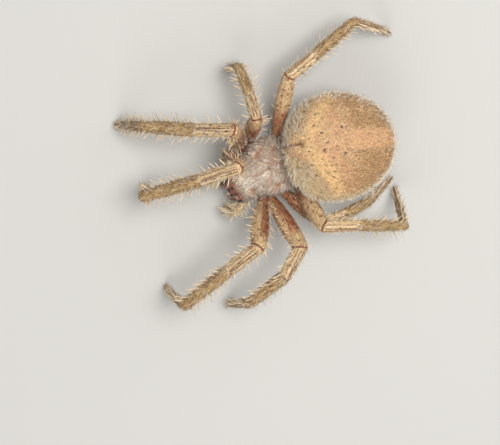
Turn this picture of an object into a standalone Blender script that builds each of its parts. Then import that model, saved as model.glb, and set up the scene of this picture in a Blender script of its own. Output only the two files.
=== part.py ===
"""A spotted orb weaver spider at life size, crouched on the floor with its eight knees raised.

Metres, +Z up, the head towards -Y.  Sizes are written in millimetres and turned to metres by MM.
The origin is on the floor under the middle of the spider.  Angles are in degrees: a heading of 0
points forwards (-Y) and 90 points to the spider's left (+X); a pitch above 0 points upwards.
"""
import math

import bmesh
import bpy
from mathutils import Matrix, Vector

MM = 0.001
GAP = 0.06 * MM                # slit between two parts of the body
CUTTER_GAP = 0.05 * MM         # how much a cutter stands out from the part that it copies
WELD_SPAN = 0.01 * MM          # points closer than this after a cut become one
SIDES = 10                     # facets round a limb
STATIONS = {"femur": 4, "patella": 2, "tibia": 2}

# The head and thorax, under one shield (carapace) with the breastplate (sternum) below
PROSOMA_CENTRE = (-0.40 * MM, -2.37 * MM)
PROSOMA_HEADING = 13.5
CARAPACE_LENGTH = 7.8 * MM
CARAPACE_WIDTH = 6.0 * MM
WIDEST_AT = -0.9 * MM          # from the middle of the shield, forwards is positive
HEAD_WIDTH = 3.6 * MM
HEAD_ROUND = 1.2 * MM          # length over which the front of the head rounds off
NECK_LENGTH = 3.4 * MM         # from the widest place to where the head starts
RIM_HEIGHT = 4.15 * MM         # the shield's lower edge, above the floor
DOME_HEIGHT = 1.95 * MM
DOME_TOP_AT = 0.7 * MM
STERNUM_WIDTH = 2.7 * MM
STERNUM_LENGTH = 5.2 * MM
STERNUM_HEIGHT = 2.35 * MM
FOVEA_AT = -1.3 * MM           # the dent in the middle of the thorax
FOVEA_DEPTH = 0.25 * MM

# The abdomen
ABDOMEN_CENTRE = (-0.50 * MM, 5.74 * MM, 6.20 * MM)
ABDOMEN_HEADING = -15.4
ABDOMEN_PITCH = 18.0
ABDOMEN_LENGTH = 11.1 * MM
ABDOMEN_WIDTH = 10.5 * MM
ABDOMEN_RISE = 4.2 * MM        # from its axis up to its back
ABDOMEN_DROP = 3.65 * MM       # from its axis down to its belly
ABDOMEN_FULLNESS = 2.15        # 2 is an ellipse, more is squarer
SHOULDER = 0.09                # how much wider it is in front than behind
PEDICEL_RADIUS = 0.36 * MM
PEDICEL_ENDS = ((-3.2 * MM, 4.1 * MM), (-5.3 * MM, 4.9 * MM))     # forwards and height
SPINNERET_LENGTH = 0.9 * MM
SPINNERET_RADIUS = 0.24 * MM

# Jaws, fangs, palps and eyes: places are (forwards, sideways, height) on the prosoma
JAW_TOP = (3.0 * MM, 0.66 * MM, 4.5 * MM)
JAW_TIP = (4.1 * MM, 0.62 * MM, 2.3 * MM)
JAW_RADII = (0.58 * MM, 0.60 * MM, 0.42 * MM)
FANG_LENGTH = 0.8 * MM
FANG_RADIUS = 0.25 * MM
PALP_PLACES = ((2.7, 1.55, 3.3), (4.5, 2.15, 3.9), (5.3, 1.5, 1.6))
PALP_RADII = (0.36 * MM, 0.40 * MM, 0.30 * MM)
EYES = {  # forwards, sideways, radius
    "eye_front_middle": (3.62, 0.30, 0.15),
    "eye_back_middle": (3.25, 0.34, 0.14),
}
SIDE_EYES = ((3.38, 1.22, 0.14), (3.22, 1.27, 0.13))

# The legs, first pair to last: where each hip is on the prosoma and the lengths from it outwards
HIP_HEIGHT = 3.4 * MM
TIP_HEIGHT = 0.2 * MM          # middle of the rounded claw tip above the floor
HIPS = {  # forwards and outwards from the middle of the prosoma
    "R1": (1.95, 2.95), "R2": (0.45, 3.25), "R3": (-1.0, 3.35), "R4": (-3.3, 2.35),
    "L1": (1.95, 2.95), "L2": (0.75, 3.25), "L3": (-0.65, 3.3), "L4": (-2.25, 3.0),
}
COXA_ROOTS = {1: (1.45, 1.55), 2: (0.5, 1.6), 3: (-0.55, 1.6), 4: (-1.75, 1.45)}
LENGTHS = {  # femur, patella, tibia, metatarsus, tarsus
    1: (8.4, 4.2, 6.0, 6.3, 2.2),
    2: (7.5, 3.8, 5.3, 5.3, 2.0),
    3: (5.4, 2.45, 3.2, 3.5, 1.6),
    4: (7.2, 3.5, 4.8, 5.4, 2.0),
}
GIRTH = {1: 1.0, 2: 1.0, 3: 0.86, 4: 0.88}
ANKLE = 0.86                   # the tarsus starts thinner than the metatarsus ends
JOINT_RADII = (0.61 * MM, 0.74 * MM, 0.69 * MM, 0.57 * MM, 0.40 * MM, 0.26 * MM)
BELLY_RADII = (0.95 * MM, 0.74 * MM, 0.67 * MM, 0.49 * MM, 0.34 * MM)
COXA_RADIUS = 0.42 * MM
POSE = {  # size of this leg beside its pair; headings and pitches of femur, patella and tibia;
          # heading of the metatarsus; heading and pitch of the tarsus
    "R1": (1.0, (181, 83), (2, -17), (-1, -18), 59, (62, -86)),
    "R2": (1.03, (-95, 69), (-17, -22), (-20, -23), -3, (-5, -64)),
    "R3": (1.0, (-120, 61), (-92, -27), (-87, -34), 10, (13, -84)),
    "R4": (0.98, (-121, 30), (-161, -6), (-160, -6), 141, (126, -55)),
    "L1": (0.99, (61, 72), (23, -20), (22, -16), -3, (-45, -70)),
    "L2": (0.93, (106, 51), (44, -12), (22, -20), 18, (22, -68)),
    "L3": (0.93, (128, 27), (178, -8), (182, -29), 192, (197, -45)),
    "L4": (0.99, (109, 55), (159, -9), (155, -20), -100, (-98, -67)),
}


def clear_scene():
    for item in list(bpy.data.objects):
        bpy.data.objects.remove(item, do_unlink=True)


def linear(value):
    if value <= 0.04045:
        return value / 12.92
    return ((value + 0.055) / 1.055) ** 2.4


def make_material(name, hex_colour, roughness):
    material = bpy.data.materials.new(name)
    material.use_nodes = True
    shader = material.node_tree.nodes["Principled BSDF"]
    parts = [int(hex_colour[i:i + 2], 16) / 255 for i in (0, 2, 4)]
    shader.inputs["Base Color"].default_value = [linear(part) for part in parts] + [1.0]
    shader.inputs["Roughness"].default_value = roughness
    shader.inputs["Metallic"].default_value = 0.0
    return material


def direction(heading, pitch):
    turn = math.radians(heading)
    tilt = math.radians(pitch)
    flat = math.cos(tilt)
    return Vector((math.sin(turn) * flat, -math.cos(turn) * flat, math.sin(tilt)))


def frame_at(centre, heading, pitch=0.0):
    """Local +X is the animal's left, +Y is forwards and +Z is up."""
    forwards = direction(heading, pitch)
    left = direction(heading + 90, 0)
    up = left.cross(forwards)
    if up.z < 0:
        up.negate()
    turn = Matrix((left, forwards, up)).transposed().to_4x4()
    return Matrix.Translation(Vector(centre)) @ turn


def on_prosoma(forwards, sideways, height):
    ahead = direction(PROSOMA_HEADING, 0)
    left = direction(PROSOMA_HEADING + 90, 0)
    flat = Vector((*PROSOMA_CENTRE, 0.0)) + ahead * forwards + left * sideways
    return Vector((flat.x, flat.y, height))


def finish(bm, name, material, parent):
    """Close the mesh up, face it outwards, shade it smooth and hang it on the parent."""
    bmesh.ops.remove_doubles(bm, verts=bm.verts, dist=0.000001)
    bmesh.ops.recalc_face_normals(bm, faces=bm.faces)
    mesh = bpy.data.meshes.new(name)
    bm.to_mesh(mesh)
    bm.free()
    mesh.shade_smooth()
    mesh.set_sharp_from_angle(angle=math.radians(50))
    mesh.materials.append(material)
    item = bpy.data.objects.new(name, mesh)
    bpy.context.collection.objects.link(item)
    item.parent = parent
    return item


def turned(profile, sides):
    """Turn a profile of (radius, height) points round the Z axis."""
    bm = bmesh.new()
    line = [bm.verts.new((radius, 0.0, height)) for radius, height in profile]
    edges = [bm.edges.new(pair) for pair in zip(line, line[1:])]
    bmesh.ops.spin(bm, geom=line + edges, cent=(0, 0, 0), axis=(0, 0, 1),
                   angle=math.tau, steps=sides, use_merge=True)
    bmesh.ops.remove_doubles(bm, verts=bm.verts, dist=0.0000005)
    bmesh.ops.recalc_face_normals(bm, faces=bm.faces)
    return bm


def limb_profile(length, radii, stations=5, cap=(25, 58)):
    """A barrel with a half ball at each end: radii at its start, belly and end."""
    first, belly, last = radii
    profile = [(0.0, -first)]
    for angle in reversed(cap):
        turn = math.radians(angle)
        profile.append((first * math.cos(turn), -first * math.sin(turn)))
    for step in range(stations + 1):
        part = step / stations
        straight = first + (last - first) * part
        swell = (belly - (first + last) / 2) * math.sin(math.pi * part) ** 0.9
        profile.append((straight + swell, length * part))
    for angle in cap:
        turn = math.radians(angle)
        profile.append((last * math.cos(turn), length + last * math.sin(turn)))
    profile.append((0.0, length + last))
    return profile


def aimed(start, along):
    turn = along.to_track_quat("Z", "Y").to_matrix().to_4x4()
    return Matrix.Translation(start) @ turn


def slice_off(bm, point, outwards):
    """Cut away all that lies beyond a plane and close the cut with a flat face."""
    geometry = list(bm.verts) + list(bm.edges) + list(bm.faces)
    bmesh.ops.bisect_plane(bm, geom=geometry, plane_co=point, plane_no=outwards,
                           clear_outer=True, dist=0.0000005)
    rim = [edge for edge in bm.edges if edge.is_boundary]
    bmesh.ops.holes_fill(bm, edges=rim, sides=0)


def limb(start, end, radii, before=None, after=None, stations=4, sides=SIDES):
    """One length of a limb, mitred where it meets the length before or after it."""
    along = end - start
    bm = turned(limb_profile(along.length, radii, stations), sides)
    bmesh.ops.transform(bm, matrix=aimed(start, along), verts=bm.verts)
    ahead = along.normalized()
    if before is not None:
        face = (before + ahead).normalized()
        slice_off(bm, start + face * GAP / 2, -face)
    if after is not None:
        face = (after + ahead).normalized()
        slice_off(bm, end - face * GAP / 2, face)
    return bm


def half_width(place):
    """Half the shield's width at a place along it: round behind, drawn in to the head."""
    widest = CARAPACE_WIDTH / 2
    head = HEAD_WIDTH / 2
    end = CARAPACE_LENGTH / 2
    if place < WIDEST_AT:
        back = (WIDEST_AT - place) / (WIDEST_AT + end)
        return widest * math.sqrt(max(0.0, 1 - back ** 2))
    along = min(1.0, (place - WIDEST_AT) / NECK_LENGTH)
    width = head + (widest - head) * math.cos(math.pi / 2 * along) ** 2
    front = max(0.0, place - (end - HEAD_ROUND)) / HEAD_ROUND
    return width * math.sqrt(max(0.0, 1 - front ** 2))


def dome(place):
    """Height of the shield's ridge above its rim."""
    end = CARAPACE_LENGTH / 2
    if place > DOME_TOP_AT:
        part = (place - DOME_TOP_AT) / (end - DOME_TOP_AT)
        return DOME_HEIGHT * (1 - part ** 3.0) ** 0.5
    part = (DOME_TOP_AT - place) / (end + DOME_TOP_AT)
    return DOME_HEIGHT * math.cos(math.pi / 2 * part ** 1.15)


def prosoma_ring(place, arch=14):
    """Points round the prosoma: over the shield, then in under its rim to the breastplate."""
    width = half_width(place)
    height = dome(place)
    ring = []
    for step in range(arch + 1):
        turn = math.pi * step / arch
        side = width * math.copysign(abs(math.cos(turn)) ** 0.9, math.cos(turn))
        lift = height * math.sin(turn) ** 0.85
        dent = FOVEA_DEPTH * math.exp(-((place - FOVEA_AT) / (0.5 * MM)) ** 2 - (side / (0.5 * MM)) ** 2)
        ring.append((side, RIM_HEIGHT + lift - dent))
    keel = max(0.15, 1 - (2 * place / STERNUM_LENGTH) ** 2) ** 0.5
    plate = min(STERNUM_WIDTH / 2 * keel, width * 0.75)
    drop = (RIM_HEIGHT - STERNUM_HEIGHT) * keel ** 1.5 * min(1.0, width / (1.5 * MM))
    under = ((1.0, 0.12), (0.97, 0.75), (0.7, 1.0), (0.0, 1.0))
    right = [(-plate * side, RIM_HEIGHT - drop * depth) for side, depth in under]
    left = [(plate * side, RIM_HEIGHT - drop * depth) for side, depth in reversed(under[:-1])]
    return ring + right + left


def make_prosoma(parent, material):
    bm = bmesh.new()
    place_on = frame_at((*PROSOMA_CENTRE, 0.0), PROSOMA_HEADING)
    end = CARAPACE_LENGTH / 2
    count = 18
    rings = []
    for step in range(count + 1):
        place = -end * 0.995 * math.cos(math.pi * step / count)
        points = prosoma_ring(place)
        rings.append([bm.verts.new(place_on @ Vector((side, place, height))) for side, height in points])
    for first, second in zip(rings, rings[1:]):
        for i in range(len(first)):
            j = (i + 1) % len(first)
            bm.faces.new((first[i], first[j], second[j], second[i]))
    bm.faces.new(rings[0])
    bm.faces.new(list(reversed(rings[-1])))
    return finish(bm, "cephalothorax", material, parent)


def abdomen_frame():
    return frame_at(ABDOMEN_CENTRE, ABDOMEN_HEADING, ABDOMEN_PITCH)


def make_abdomen(parent, material):
    rings = 18
    profile = []
    for step in range(rings + 1):
        part = -math.cos(math.pi * step / rings)
        round_off = (1 - abs(part) ** ABDOMEN_FULLNESS) ** (1 / ABDOMEN_FULLNESS)
        profile.append((round_off * (1 + SHOULDER * part), part))
    bm = turned(profile, 28)
    place_on = abdomen_frame()
    for vert in bm.verts:
        side, up, along = vert.co
        rise = ABDOMEN_RISE if up > 0 else ABDOMEN_DROP
        local = Vector((side * ABDOMEN_WIDTH / 2, along * ABDOMEN_LENGTH / 2, up * rise))
        vert.co = place_on @ local
    return finish(bm, "abdomen", material, parent)


def make_cutter(source, parent):
    """A slightly swollen copy of a part, which leaves a slit round it where it cuts."""
    cutter = source.copy()
    cutter.data = source.data.copy()
    cutter.name = "cutter_" + source.name
    for vert in cutter.data.vertices:
        vert.co += vert.normal * CUTTER_GAP
    bpy.context.collection.objects.link(cutter)
    cutter.parent = parent
    cutter.hide_render = True
    cutter.display_type = "WIRE"
    return cutter


def weld(item):
    """Merge the crowded points that a cut or a union leaves along its seam."""
    merge = item.modifiers.new("weld", "WELD")
    merge.merge_threshold = WELD_SPAN


def cut_with(item, *cutters):
    for cutter in cutters:
        cut = item.modifiers.new("cut_" + cutter.name, "BOOLEAN")
        cut.operation = "DIFFERENCE"
        cut.solver = "EXACT"
        cut.object = cutter
    weld(item)


def make_pedicel(parent, material, cutters):
    start, end = [on_prosoma(forwards, 0.0, height) for forwards, height in PEDICEL_ENDS]
    bm = limb(start, end, (PEDICEL_RADIUS,) * 3, stations=2)
    item = finish(bm, "pedicel", material, parent)
    cut_with(item, *cutters)
    return item


def make_spinnerets(parent, material, cutter):
    """Six short spinning organs round one low mound, joined to it."""
    place_on = abdomen_frame()
    root = place_on @ Vector((0.0, -ABDOMEN_LENGTH * 0.36, -ABDOMEN_DROP * 0.66))
    down = (place_on.to_3x3() @ Vector((0.0, -0.45, -1.0))).normalized()
    back = place_on.to_3x3() @ Vector((0.0, -1.0, 0.0))
    left = place_on.to_3x3() @ Vector((1.0, 0.0, 0.0))
    mound = limb(root, root + down * SPINNERET_LENGTH * 0.4, (0.62 * MM, 0.62 * MM, 0.42 * MM), stations=2)
    item = finish(mound, "spinnerets", material, parent)
    for number in range(6):
        turn = math.tau * (number + 0.5) / 6
        lean = back * math.cos(turn) + left * math.sin(turn)
        start = root + lean * 0.26 * MM
        tip = start + (down + lean * 0.3).normalized() * SPINNERET_LENGTH
        radii = (SPINNERET_RADIUS, SPINNERET_RADIUS, SPINNERET_RADIUS * 0.6)
        finger = finish(limb(start, tip, radii, stations=1, sides=6), "guide_finger_%d" % number, material, parent)
        finger.hide_render = True
        finger.display_type = "WIRE"
        join = item.modifiers.new("join_%d" % number, "BOOLEAN")
        join.operation = "UNION"
        join.solver = "EXACT"
        join.object = finger
    cut_with(item, cutter)
    return item


def make_jaw(side, sign, parent, jaw_material, fang_material, cutter):
    top = on_prosoma(JAW_TOP[0], JAW_TOP[1] * sign, JAW_TOP[2])
    tip = on_prosoma(JAW_TIP[0], JAW_TIP[1] * sign, JAW_TIP[2])
    fang_tip = tip + direction(PROSOMA_HEADING - sign * 40, -50) * FANG_LENGTH
    bend = (fang_tip - tip).normalized()
    jaw = finish(limb(top, tip, JAW_RADII, after=bend), "chelicera_" + side, jaw_material, parent)
    cut_with(jaw, cutter)
    bm = limb(tip, fang_tip, (FANG_RADIUS, FANG_RADIUS, 0.09 * MM), before=(tip - top).normalized(),
              stations=3)
    finish(bm, "fang_" + side, fang_material, parent)


def make_palp(side, sign, parent, material, cutter):
    places = [on_prosoma(x * MM, y * MM * sign, z * MM) for x, y, z in PALP_PLACES]
    ways = [(b - a).normalized() for a, b in zip(places, places[1:])]
    root_radii = (PALP_RADII[0], PALP_RADII[1], PALP_RADII[1])
    root = limb(places[0], places[1], root_radii, after=ways[1], stations=3)
    item = finish(root, "palp_base_" + side, material, parent)
    cut_with(item, cutter)
    tip_radii = (PALP_RADII[1], PALP_RADII[1], PALP_RADII[2])
    tip = limb(places[1], places[2], tip_radii, before=ways[0], stations=3)
    finish(tip, "palp_tip_" + side, material, parent)


def shield_height(forwards, sideways):
    """Height of the shield's surface above the floor at a place on it."""
    width = half_width(forwards)
    turn = math.acos(min(1.0, (abs(sideways) / width) ** (1 / 0.9)))
    return RIM_HEIGHT + dome(forwards) * math.sin(turn) ** 0.85


def ball(centre, radius):
    bm = bmesh.new()
    bmesh.ops.create_uvsphere(bm, u_segments=10, v_segments=6, radius=radius)
    bmesh.ops.translate(bm, verts=bm.verts, vec=centre)
    return bm


def eye_centre(forwards, sideways, sink):
    height = shield_height(forwards * MM, sideways * MM)
    return on_prosoma(forwards * MM, sideways * MM, height - sink * MM)


def make_eyes(side, sign, parent, material, cutter):
    for name, (forwards, sideways, radius) in EYES.items():
        centre = eye_centre(forwards, sideways * sign, radius * 0.1)
        item = finish(ball(centre, radius * MM), name + "_" + side, material, parent)
        cut_with(item, cutter)
    pair = []
    for number, (forwards, sideways, radius) in enumerate(SIDE_EYES):
        centre = eye_centre(forwards, sideways * sign, radius * 0.1)
        name = ("eye_side_" if number == 0 else "guide_eye_side_") + side
        pair.append(finish(ball(centre, radius * MM), name, material, parent))
    pair[1].hide_render = True
    pair[1].display_type = "WIRE"
    join = pair[0].modifiers.new("join", "BOOLEAN")
    join.operation = "UNION"
    join.solver = "EXACT"
    join.object = pair[1]
    cut_with(pair[0], cutter)


def leg_points(leg):
    """Joints of a leg from the hip to the claw tip, whose height is the floor's."""
    pair = int(leg[1])
    sign = 1 if leg[0] == "L" else -1
    size, femur, patella, tibia, foot_heading, tarsus = POSE[leg]
    lengths = [length * size * MM for length in LENGTHS[pair]]
    forwards, sideways = HIPS[leg]
    points = [on_prosoma(forwards * MM, sideways * MM * sign, HIP_HEIGHT)]
    for length, angles in zip(lengths, (femur, patella, tibia)):
        points.append(points[-1] + direction(*angles) * length)
    toe = direction(*tarsus) * lengths[4]
    drop = points[-1].z + toe.z - TIP_HEIGHT
    pitch = -math.degrees(math.asin(drop / lengths[3]))
    points.append(points[-1] + direction(foot_heading, pitch) * lengths[3])
    points.append(points[-1] + toe)
    return points


def make_foot(points, radii, before, name, material, parent):
    """Metatarsus and tarsus in one bent piece, with a small flat under the claw tip."""
    start, ankle, tip = points
    upper = limb(start, ankle, radii[0], before=before, stations=3)
    item = finish(upper, name, material, parent)
    lower = limb(ankle, tip, radii[1], stations=2)
    slice_off(lower, Vector((0.0, 0.0, 0.0)), Vector((0.0, 0.0, -1.0)))
    guide = finish(lower, "guide_tarsus_" + name, material, parent)
    guide.hide_render = True
    guide.display_type = "WIRE"
    join = item.modifiers.new("join", "BOOLEAN")
    join.operation = "UNION"
    join.solver = "EXACT"
    join.object = guide
    weld(item)
    return item


def make_leg(leg, parent, materials):
    pair = int(leg[1])
    sign = 1 if leg[0] == "L" else -1
    points = leg_points(leg)
    forwards, sideways = COXA_ROOTS[pair]
    points.insert(0, on_prosoma(forwards * MM, sideways * MM * sign, HIP_HEIGHT))
    ways = [(b - a).normalized() for a, b in zip(points, points[1:])]
    girth = GIRTH[pair]
    joints = [radius * girth for radius in JOINT_RADII]
    bellies = [radius * girth for radius in BELLY_RADII]
    flat_end = (points[0], -ways[0])
    coxa = limb(points[0], points[1], (COXA_RADIUS, 0.5 * MM, joints[0]), after=ways[1], stations=2)
    slice_off(coxa, *flat_end)
    finish(coxa, "coxa_" + leg, materials["limb_root"], parent)
    for number, part in enumerate(("femur", "patella", "tibia")):
        radii = (joints[number], bellies[number], joints[number + 1])
        before, after = ways[number], ways[number + 2]
        bm = limb(points[number + 1], points[number + 2], radii, before, after, STATIONS[part])
        finish(bm, "%s_%s" % (part, leg), materials[part], parent)
    radii = ((joints[3], bellies[3], joints[4]), (joints[4] * ANKLE, bellies[4], joints[5]))
    make_foot(points[4:], radii, ways[3], "foot_" + leg, materials["foot"], parent)


def settle_origin(parent):
    """Bring the origin to the floor under the middle of the spider's box."""
    bpy.context.view_layer.update()
    reading = bpy.context.evaluated_depsgraph_get()
    corners = []
    for item in bpy.context.scene.objects:
        if item.type != "MESH" or item.hide_render:
            continue
        solid = item.evaluated_get(reading)
        corners += [solid.matrix_world @ vert.co for vert in solid.data.vertices]
    middle_x = (min(c.x for c in corners) + max(c.x for c in corners)) / 2
    middle_y = (min(c.y for c in corners) + max(c.y for c in corners)) / 2
    parent.location = (-middle_x, -middle_y, -min(c.z for c in corners))


def main():
    clear_scene()
    spider = bpy.data.objects.new("spider", None)
    bpy.context.collection.objects.link(spider)
    shield = make_material("carapace", "B79A86", 0.6)
    back = make_material("abdomen_skin", "C9A064", 0.7)
    jaw = make_material("jaw", "7A3B26", 0.3)
    claw = make_material("fang", "2E1710", 0.25)
    eye = make_material("eye", "120C0A", 0.08)
    palp = make_material("palp_skin", "BFA384", 0.6)
    limbs = {
        "limb_root": make_material("limb_root", "8E5A40", 0.5),
        "femur": make_material("femur_skin", "A5674A", 0.5),
        "patella": make_material("patella_skin", "C3A379", 0.55),
        "tibia": make_material("tibia_skin", "B39A6C", 0.55),
        "foot": make_material("foot_skin", "A98767", 0.55),
    }
    prosoma = make_prosoma(spider, shield)
    abdomen = make_abdomen(spider, back)
    prosoma_cutter = make_cutter(prosoma, spider)
    abdomen_cutter = make_cutter(abdomen, spider)
    make_pedicel(spider, shield, (prosoma_cutter, abdomen_cutter))
    make_spinnerets(spider, limbs["limb_root"], abdomen_cutter)
    for side, sign in (("L", 1), ("R", -1)):
        make_jaw(side, sign, spider, jaw, claw, prosoma_cutter)
        make_palp(side, sign, spider, palp, prosoma_cutter)
        make_eyes(side, sign, spider, eye, prosoma_cutter)
    for leg in POSE:
        make_leg(leg, spider, limbs)
    settle_origin(spider)


main()
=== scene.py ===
# Dresses the orb weaver spider: one skin over all its flesh, its coat of short hair and its leg
# spines, glossy eyes and jaws, dark claws, and a plain studio round it.
import math
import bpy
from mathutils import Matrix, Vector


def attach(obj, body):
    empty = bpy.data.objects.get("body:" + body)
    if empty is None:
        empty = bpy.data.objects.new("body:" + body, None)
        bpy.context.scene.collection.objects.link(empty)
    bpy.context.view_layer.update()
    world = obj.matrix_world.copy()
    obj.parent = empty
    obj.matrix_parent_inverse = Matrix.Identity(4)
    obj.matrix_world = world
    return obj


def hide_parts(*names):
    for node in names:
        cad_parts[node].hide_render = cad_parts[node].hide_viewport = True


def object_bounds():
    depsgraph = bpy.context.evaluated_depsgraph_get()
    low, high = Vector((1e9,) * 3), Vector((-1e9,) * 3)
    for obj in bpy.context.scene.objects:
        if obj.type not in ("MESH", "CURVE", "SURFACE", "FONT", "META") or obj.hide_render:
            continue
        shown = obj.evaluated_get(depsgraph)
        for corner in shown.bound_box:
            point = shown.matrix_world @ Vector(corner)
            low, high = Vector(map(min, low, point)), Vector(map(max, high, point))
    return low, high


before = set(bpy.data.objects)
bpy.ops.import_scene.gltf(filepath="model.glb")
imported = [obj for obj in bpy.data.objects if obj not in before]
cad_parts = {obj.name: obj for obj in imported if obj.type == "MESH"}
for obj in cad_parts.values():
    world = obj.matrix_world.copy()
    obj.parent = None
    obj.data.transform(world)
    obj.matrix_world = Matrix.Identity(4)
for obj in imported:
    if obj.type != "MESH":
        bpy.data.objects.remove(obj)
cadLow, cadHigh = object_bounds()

from types import SimpleNamespace

import bmesh
import bpy
import numpy as np
from mathutils import Matrix, Vector
from mathutils.bvhtree import BVHTree

mm = 0.001                         # shapes are worked out in mm and turned to metres at the end
chance = np.random.default_rng(23)


def linear(hexCode):
    parts = [int(hexCode[i:i + 2], 16) / 255 for i in (0, 2, 4)]
    return [p / 12.92 if p <= 0.04045 else ((p + 0.055) / 1.055) ** 2.4 for p in parts] + [1.0]


def addNode(tree, kind, inputs=(), out=0, **settings):
    # an input is a fixed value or another node's socket, by its name or in order; gives back one output,
    # or the node itself
    node = tree.nodes.new("ShaderNode" + kind)
    for name, value in settings.items():
        setattr(node, name, value)
    for name, value in inputs.items() if isinstance(inputs, dict) else enumerate(inputs):
        if isinstance(value, bpy.types.NodeSocket):
            tree.links.new(value, node.inputs[name])
        else:
            node.inputs[name].default_value = value
    return node if out is None else node.outputs[out]


def addObject(name, data):
    item = bpy.data.objects.new(name, data)
    bpy.context.scene.collection.objects.link(item)
    return item


def unit(vectors):
    return vectors / np.maximum(np.linalg.norm(vectors, axis=-1, keepdims=True), 1e-9)


def smoothStep(values, low, high):
    part = np.clip((values - low) / (high - low), 0.0, 1.0)
    return part * part * (3 - 2 * part)


def cornersOf(name):
    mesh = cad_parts[name].data
    flat = np.empty(len(mesh.vertices) * 3)
    mesh.vertices.foreach_get("co", flat)
    return np.unique((flat.reshape(-1, 3) / mm).round(4), axis=0)


# Where the body lies: each frame has rows left, ahead and up, and a middle measured on the solid

bodyLie = {
    "chest": {"node": "cephalothorax", "heading": 13.5, "pitch": 0.0, "middleUp": None},
    "abdomen": {"node": "abdomen", "heading": -15.4, "pitch": 18.0, "middleUp": 0.465},
}


def measureBody(lie):
    turn, tilt = math.radians(lie["heading"]), math.radians(lie["pitch"])
    ahead = np.array((math.sin(turn) * math.cos(tilt), -math.cos(turn) * math.cos(tilt), math.sin(tilt)))
    left = np.array((math.cos(turn), math.sin(turn), 0.0))
    axes = np.array((left, ahead, np.cross(ahead, left)))
    spread = cornersOf(lie["node"]) @ axes.T
    low, high = spread.min(0), spread.max(0)
    middle = (low + high) / 2
    middle[2] = 0.0 if lie["middleUp"] is None else low[2] + lie["middleUp"] * (high[2] - low[2])
    return {"axes": axes, "middle": middle, "low": low - middle, "high": high - middle}


def toBody(body, points):
    return np.asarray(points) @ body["axes"].T - body["middle"]


def fromBody(body, local):
    return (np.asarray(local) + body["middle"]) @ body["axes"]


chest = measureBody(bodyLie["chest"])
abdomen = measureBody(bodyLie["abdomen"])


# The legs and palps as chains of lengths: kind, start, end, three radii, dorsal side, chain number

legSizes = {
    "femur": {1: 8.4, 2: 7.5, 3: 5.4, 4: 7.2},
    "metatarsus": {1: 6.3, 2: 5.3, 3: 3.5, 4: 5.4},
    "girth": {1: 1.0, 2: 1.0, 3: 0.86, 4: 0.88},
    "joints": (0.61, 0.74, 0.69, 0.57, 0.40, 0.26),
    "bellies": (0.95, 0.74, 0.67, 0.49, 0.34),
    "hipRadii": (0.46, 0.5), "hipInwards": 1.5, "hipHeight": 3.6, "tipHeight": 0.2,
    "straightPart": (0.35, 0.8),   # the shares of a metatarsus that give its direction
}
palpSizes = {"radii": (0.36, 0.40, 0.30), "inwards": 0.5, "rootFrom": 1.2}
legNames = [side + pair for side in "LR" for pair in "1234"]
coatDepth = 0.08                   # how far the skin lies inside the solids
kinds = {"coxa": 0, "femur": 1, "patella": 2, "tibia": 3, "metatarsus": 4, "tarsus": 5, "palp": 6}


def surfaceOf(name, count=6000):
    # points spread evenly over a solid's surface
    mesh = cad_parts[name].data
    mesh.calc_loop_triangles()
    corners = np.array([[mesh.vertices[i].co / mm for i in face.vertices] for face in mesh.loop_triangles])
    a, b, c = corners[:, 0], corners[:, 1], corners[:, 2]
    areas = np.linalg.norm(np.cross(b - a, c - a), axis=1)
    drawn = np.random.default_rng(5)
    picked = drawn.choice(len(areas), size=count, p=areas / areas.sum())
    u, v = drawn.random((2, count, 1))
    flip = u + v > 1
    u, v = np.where(flip, 1 - u, u), np.where(flip, 1 - v, v)
    return a[picked] + u * (b - a)[picked] + v * (c - a)[picked]


def treeOf(mesh, size=1.0):
    # for finding places on a mesh; a mm has that size in it
    faces = [tuple(face.vertices) for face in mesh.polygons]
    return BVHTree.FromPolygons([vert.co / size for vert in mesh.vertices], faces)


def meeting(first, second):
    # middle of the slit between two neighbouring solids
    rims = []
    for one, other in ((first, second), (second, first)):
        tree = treeOf(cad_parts[other].data, mm)
        points = cornersOf(one)
        spans = np.array([tree.find_nearest(point)[3] for point in points])
        rims.append(points[spans < spans.min() + 0.03].mean(0))
    return (rims[0] + rims[1]) / 2


def legChain(leg):
    pair = int(leg[1])
    hip, knee = meeting("coxa_" + leg, "femur_" + leg), meeting("femur_" + leg, "patella_" + leg)
    elbow, wrist = meeting("patella_" + leg, "tibia_" + leg), meeting("tibia_" + leg, "foot_" + leg)
    foot = cornersOf("foot_" + leg)
    tip = foot[foot[:, 2] < 0.02].mean(0)
    tip[2] = legSizes["tipHeight"]
    size = np.linalg.norm(knee - hip) / legSizes["femur"][pair]
    reach = legSizes["metatarsus"][pair] * size
    skinOfFoot = surfaceOf("foot_" + leg)
    far = np.linalg.norm(skinOfFoot - wrist, axis=1)
    nearest, farthest = legSizes["straightPart"]
    shaft = skinOfFoot[(far > nearest * reach) & (far < farthest * reach)].mean(0)
    ankle = wrist + unit(shaft - wrist) * reach
    inwards = unit(fromBody(chest, (0.0, 0.0, legSizes["hipHeight"])) - hip) * legSizes["hipInwards"]
    return [hip + inwards, hip, knee, elbow, wrist, ankle, tip]


def layLegs():
    lengths = []
    firstJoint, firstBelly = legSizes["hipRadii"]
    for number, leg in enumerate(legNames):
        points = legChain(leg)
        girth = legSizes["girth"][int(leg[1])]
        joints = [firstJoint] + [radius * girth for radius in legSizes["joints"]]
        bellies = [firstBelly] + [radius * girth for radius in legSizes["bellies"]]
        across = unit(np.cross(points[2] - points[1], points[4] - points[2]))
        reached = 0.0
        for part, kind in enumerate(("coxa", "femur", "patella", "tibia", "metatarsus", "tarsus")):
            start, end = points[part], points[part + 1]
            upper = unit(np.cross(across, unit(end - start)))
            if np.cross(across, unit(points[3] - points[2]))[2] < 0:
                upper = -upper
            lengths.append({"kind": kinds[kind], "start": start, "end": end, "number": number,
                            "radii": (joints[part], bellies[part], joints[part + 1]),
                            "upper": upper, "reached": reached})
            reached += np.linalg.norm(end - start)
    return lengths


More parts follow.
